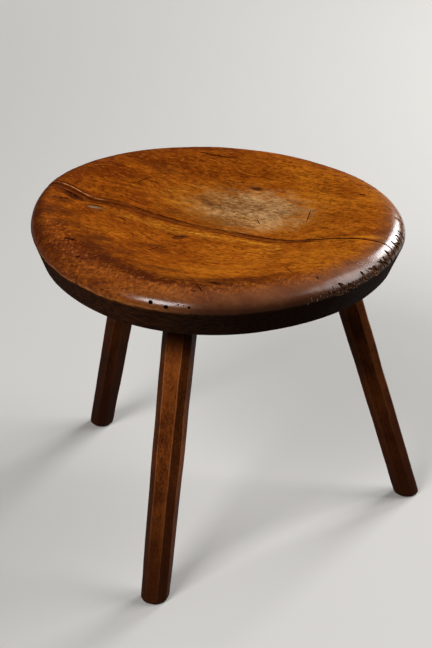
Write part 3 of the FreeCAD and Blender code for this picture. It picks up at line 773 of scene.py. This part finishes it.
def shaved_leg_tree():
    """Eight flats about an axis, with uneven shaving, a rounded foot, a scribed shoulder and a tenon."""
    number, vector = "NodeSocketFloat", "NodeSocketVector"
    tree, given, result = new_tree("shaved_leg", "GeometryNodeTree", {
        "Length": number, "Foot Width": number, "Shoulder Width": number, "Foot Corner": number,
        "Shoulder Corner": number, "Arris": number, "Shave": number, "Foot Ease": number,
        "Floor Facing": vector, "Seat Facing": vector, "Tenon Width": number, "Tenon Length": number,
        "Around": "NodeSocketInt", "Along": "NodeSocketInt", "Ease Rows": "NodeSocketInt",
        "Seed": number, "Darkness": number, "Wood": "NodeSocketMaterial",
    }, {"Geometry": "NodeSocketGeometry"})
    length, rows, ease, ease_rows = (given[name] for name in ("Length", "Along", "Foot Ease", "Ease Rows"))

    # A plain cylinder gives rows and columns, and each point then finds its row and its turn
    segments = rows + 2
    billet = put(tree, "GeometryNodeMeshCylinder",
                 {"Vertices": given["Around"], "Side Segments": segments, "Radius": 1.0, "Depth": 1.0})
    x, y, z = parts(put(tree, "GeometryNodeInputPosition"))
    turn = calc("ARCTAN2", y, x)
    row = calc("ROUND", (z + 0.5) * segments)

    # The first rows go round the worn foot, and the rest run evenly up the shaft
    swing = calc("MINIMUM", row / ease_rows, 1.0) * (pi / 2)
    rise = ease * (1.0 - calc("COSINE", swing))
    draw_in = ease * (1.0 - calc("SINE", swing))
    up_shaft = calc("MAXIMUM", row - ease_rows, 0.0) / (rows - ease_rows)
    climb = calc("MINIMUM", up_shaft, 1.0) * (length - ease)
    share = (rise + climb) / length

    def taper(low, high):
        return share * (given[high] - given[low]) + given[low]

    def flat(distance, shift):
        """Distance to one of four flats a quarter turn apart, each shaved unevenly along the leg."""
        quarter = pi / 2
        aimed = turn - shift
        facet = calc("FLOORED_MODULO", calc("ROUND", aimed / quarter), 4.0)
        spot = put(tree, "ShaderNodeCombineXYZ", {
            0: facet * FACET_STEP + (given["Seed"] + shift * FLAT_STEP), 1: share * SHAVE_WAVES})
        uneven = put(tree, "ShaderNodeTexNoise", {"Vector": spot, "Scale": 1.0, "Detail": 2.0})
        taken = calc("MINIMUM", uneven - SHAVE_LEVEL, 0.0) * given["Shave"]
        return (taken + distance) / calc("COSINE", calc("WRAP", aimed, quarter / 2, -quarter / 2))

    width = taper("Foot Width", "Shoulder Width")
    corner = taper("Foot Corner", "Shoulder Corner")
    square = flat(width / 2.0, 0.0)
    planed = flat(width * ((1.0 - corner) / 2 ** 0.5), pi / 4)
    foot_wear = calc("POWER", 1.0 - share, FOOT_WEAR_POWER)
    shaft = calc("SMOOTH_MIN", square, planed, foot_wear * ease + given["Arris"]) - draw_in

    # The last two rows are the shoulder's inner edge and the end of the tenon
    on_tenon = calc("GREATER_THAN", row, rows + 0.5)
    at_end = calc("GREATER_THAN", row, rows + 1.5)
    radius = on_tenon * (given["Tenon Width"] / 2.0 - shaft) + shaft
    across = radius * calc("COSINE", turn)
    aside = radius * calc("SINE", turn)

    def plane_height(facing):
        lie_x, lie_y, lie_z = parts(given[facing])
        return (lie_x * across + lie_y * aside) * -1.0 / lie_z

    low = plane_height("Floor Facing")
    high = plane_height("Seat Facing") + length
    height = share * (high - low) + low
    height = at_end * (length + given["Tenon Length"] - height) + height
    spot = put(tree, "ShaderNodeCombineXYZ", {0: across, 1: aside, 2: height})
    # What the material reads is kept while the points still lie on the plain cylinder
    kept = billet
    for label, kind, value in (("shaft", "FLOAT_VECTOR", spot), ("darkness", "FLOAT", given["Darkness"]),
                               ("planed_off", "FLOAT", square - planed)):
        kept = put(tree, "GeometryNodeStoreNamedAttribute",
                   {"Geometry": kept, "Name": label, "Value": value}, data_type=kind, domain="POINT")
    shaped = put(tree, "GeometryNodeSetPosition", {"Geometry": kept, "Position": spot})
    whole = put(tree, "GeometryNodeRealizeInstances", {"Geometry": shaped})
    done = put(tree, "GeometryNodeSetMaterial", {"Geometry": whole, "Material": given["Wood"]})
    send(result, Geometry=done)
    return tree


def leg_finish():
    """Dark wood, grain along the leg, rubbed lighter on the arrises, darker towards the foot, with painted
    shade over each leg, on its chamfer flats and under the seat.
    """
    material, tree, shader = new_finish("shaved_leg_wood")
    shaft = put(tree, "ShaderNodeAttribute", attribute_name="shaft")["Vector"]
    painted_leg_shade = put(tree, "ShaderNodeAttribute", attribute_name="darkness")["Fac"]
    planed_off = put(tree, "ShaderNodeAttribute", attribute_name="planed_off")["Fac"]
    along = put(tree, "ShaderNodeMapping",
                {"Vector": shaft, "Rotation": (0, pi / 2, 0), "Scale": LEG_GRAIN_SCALE})
    rings, streaks, flecks, pores, blotches = figured(along)
    handled = put(tree, "ShaderNodeGroup", {"Vector": along}, node_tree=knocks)
    _, _, height = parts(shaft)
    tone = blotches + (flecks - 0.5) * 0.5
    colour = mixed(ramp(tone, 0.30, 0.68), paint(86, 39, 13), paint(160, 84, 31))
    colour = mixed(ramp(rings, 0.6, 1.0, 0.0, 0.16), colour, paint(52, 19, 8))
    colour = mixed(ramp(streaks, 0.58, 0.78, 0.0, 0.35), colour, paint(168, 96, 46))
    colour = mixed(pores * 0.62, colour, paint(36, 13, 6))
    # Painted shade on the chamfer flats, strongest on the front leg
    corner = ramp(planed_off, -0.0002, 0.0003, 0.0, 0.60) * ramp(painted_leg_shade, 0.2, 0.6, 1.0, 0.1)
    colour = mixed(corner, colour, paint(40, 15, 6))
    arris = ramp(abs(planed_off), 0.0008, 0.0002) * ramp(blotches + streaks * 0.5, 0.55, 0.85, 0.25, 0.85)
    colour = mixed(arris, colour, paint(184, 108, 58))
    colour = mixed(handled["Knocks"] * 0.7, colour, paint(28, 12, 6))
    colour = mixed(handled["Scratches"] * 0.30, colour, paint(136, 84, 44))
    # Each leg darkened by its own share of painted shade
    colour = mixed(painted_leg_shade, colour, paint(34, 13, 6))
    # Painted shade of the seat over the top of the leg
    colour = mixed(ramp(height, *SHOULDER_SHADE, 0.0, 0.85), colour, paint(34, 13, 6))
    colour = mixed(ramp(height, *FOOT_DARKENING, 0.0, 0.80), colour, paint(46, 19, 8))
    colour = mixed(ramp(height, *SOLE_DUST, 0.0, 0.40), colour, paint(56, 28, 14))
    relief = streaks - handled["Knocks"] - pores * 0.7
    send(shader.inputs, Base_Color=colour, Roughness=streaks * 0.25 + 0.32,
         Normal=bumped(relief, 0.5, 0.0005), Specular_IOR_Level=0.02)
    return material


leg_wood = leg_finish()
leg_tree = shaved_leg_tree()
seat_axis = seat_place.to_3x3() @ Vector((0, 0, 1))
for number, (side, sizes) in enumerate(LEG_SIZES.items()):
    foot = soles[f"{side}_sole"]
    socket = seat_place @ (level_way(sizes["socket_turn"]) * SOCKET_RADIUS)
    along = (socket - foot).normalized()
    outward = Vector((foot.x - axis_x, foot.y - axis_y, 0)).normalized()
    facing = (outward - along * outward.dot(along)).normalized()
    stance = Matrix((facing, along.cross(facing), along)).transposed()
    leg = plain_mesh(f"shaved_leg_{side}", leg_tree, {
        "Length": (socket - foot).length, "Foot Width": sizes["foot_width"],
        "Shoulder Width": sizes["shoulder_width"], "Foot Corner": FOOT_CORNER,
        "Shoulder Corner": SHOULDER_CORNER, "Foot Ease": FOOT_EASE,
        "Arris": LEG_ARRIS, "Shave": SHAVE_DEPTH,
        "Floor Facing": stance.transposed() @ Vector((0, 0, 1)),
        "Seat Facing": stance.transposed() @ seat_axis,
        "Tenon Width": TENON_WIDTH, "Tenon Length": TENON_LENGTH,
        "Around": LEG_COLUMNS, "Along": LEG_ROWS, "Ease Rows": EASE_ROWS,
        "Seed": LEG_STEP * number, "Darkness": sizes["darkness"], "Wood": leg_wood})
    leg.data.transform(Matrix.Translation(foot) @ stance.to_4x4())
    leg.data.shade_smooth()
    leg.data.set_sharp_from_angle(angle=LEG_SHARP_EDGE)
    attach(leg, "root")
    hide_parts(f"leg_{side}")

# Pegs and wedges: slivers of the same hardwood split and whittled bare, shut up inside the joints.
# The pegs hold the boards edge to edge, and the wedges spread the tenons in their blind holes.
BARE_GRAIN_SCALE = (2, 2, 2)


def bare_finish(name, turn):
    """Bare split wood, its grain turned to run along the piece."""
    material, tree, shader = new_finish(name)
    where = put(tree, "ShaderNodeTexCoord")["Object"]
    along = put(tree, "ShaderNodeMapping", {"Vector": where, "Rotation": turn, "Scale": BARE_GRAIN_SCALE})
    _, streaks, flecks, pores, _ = figured(along)
    colour = mixed(ramp(flecks, 0.3, 0.7), paint(122, 86, 48), paint(182, 146, 98))
    colour = mixed(pores * 0.6, colour, paint(74, 46, 22))
    send(shader.inputs, Base_Color=colour, Roughness=streaks * 0.25 + 0.55,
         Normal=bumped(streaks, 0.5, 0.0004))
    return material


bare_woods = {"dowel": bare_finish("whittled_peg_wood", (0, 0, -pi / 2)),
              "wedge": bare_finish("split_wedge_wood", (0, pi / 2, 0))}
for node_name, node in frame["nodes"].items():
    kind = node_name.split("_")[0]
    if kind in bare_woods:
        node.data.materials.clear()
        node.data.materials.append(bare_woods[kind])

# Floor, light and camera: a plain pale floor, a broad soft lamp high behind the stool's right side, a
# smaller one lower at the back, a third high in front, and a long lens that looks down on the seat.
FLOOR_WIDTH = 24.0
FLOOR_SEEN, FLOOR_BOUNCE, BACKDROP = paint(212, 210, 206), paint(108, 107, 105), paint(222, 220, 216)
FLOOR_FADE = (0.9, 3.2)
BACKDROP_LIGHT = 0.07
CAMERA_AZIMUTH = radians(21.5)
CAMERA_ELEVATION = radians(27.77)
CAMERA_DIP = radians(26.81)
CAMERA_DISTANCE = 2.187
LOOK_HEIGHT = 0.165
LENS, SENSOR_HEIGHT = 77.63, 24
# Lamps: turn from the camera's side and height in degrees, distance, width and power
LAMPS = {
    "key_light": (102, 38, 3.2, 2.0, 62),
    "rear_light": (140, 25, 3.0, 1.0, 52),
    "front_light": (-34, 41, 2.9, 1.05, 50),
}

bpy.ops.mesh.primitive_plane_add(size=FLOOR_WIDTH)
floor = bpy.context.object
floor.name = "floor"
pale, tree, shader = new_finish("pale_floor")
# The camera and the wax see the floor pale, but it sends little light back up to the stool
path = put(tree, "ShaderNodeLightPath")
seen = calc("MAXIMUM", path["Is Camera Ray"], path["Is Glossy Ray"])
send(shader.inputs, Base_Color=mixed(seen, FLOOR_BOUNCE, FLOOR_SEEN), Roughness=0.9)
# Far from the stool, where the lamps do not reach, the camera sees the floor as pale as near it
where = put(tree, "ShaderNodeTexCoord")["Object"]
distance = put(tree, "ShaderNodeVectorMath", {0: where}, operation="LENGTH")["Value"]
far = ramp(distance, *FLOOR_FADE) * path["Is Camera Ray"]
glow = put(tree, "ShaderNodeEmission", {"Color": BACKDROP})
both = put(tree, "ShaderNodeMixShader", {0: far, 1: Field(shader.outputs[0]), 2: glow})
send(tree.nodes["Material Output"].inputs, Surface=both)
floor.data.materials.append(pale)


def way_to(azimuth, elevation):
    """Direction from the stool: azimuth 0 is the front, and 90 degrees the right."""
    return Vector((sin(azimuth) * cos(elevation), -cos(azimuth) * cos(elevation), sin(elevation)))


stool_middle = Vector((axis_x, axis_y, LOOK_HEIGHT))
for name, (turn, rise, distance, width, power) in LAMPS.items():
    lamp = bpy.data.lights.new(name, "AREA")
    lamp.size = width
    lamp.energy = power
    holder = bpy.data.objects.new(name, lamp)
    way = way_to(CAMERA_AZIMUTH + radians(turn), radians(rise))
    holder.location = stool_middle + way * distance
    holder.rotation_euler = way.to_track_quat("Z", "Y").to_euler()
    bpy.context.scene.collection.objects.link(holder)

# The pale surroundings show to the camera, and light the stool only faintly
world = bpy.data.worlds.new("studio")
world.use_nodes = True
seen = put(world.node_tree, "ShaderNodeLightPath")["Is Camera Ray"]
send(world.node_tree.nodes["Background"].inputs, Color=BACKDROP,
     Strength=seen * (1 - BACKDROP_LIGHT) + BACKDROP_LIGHT)
bpy.context.scene.world = world
bpy.context.scene.view_settings.view_transform = "Standard"

camera = bpy.data.cameras.new("camera")
camera.sensor_fit = "VERTICAL"
camera.sensor_height = SENSOR_HEIGHT
camera.lens = LENS
viewpoint = bpy.data.objects.new("camera", camera)
viewpoint.location = stool_middle + way_to(CAMERA_AZIMUTH, CAMERA_ELEVATION) * CAMERA_DISTANCE
viewpoint.rotation_euler = Euler((pi / 2 - CAMERA_DIP, 0, CAMERA_AZIMUTH))
bpy.context.scene.collection.objects.link(viewpoint)
bpy.context.scene.camera = viewpoint
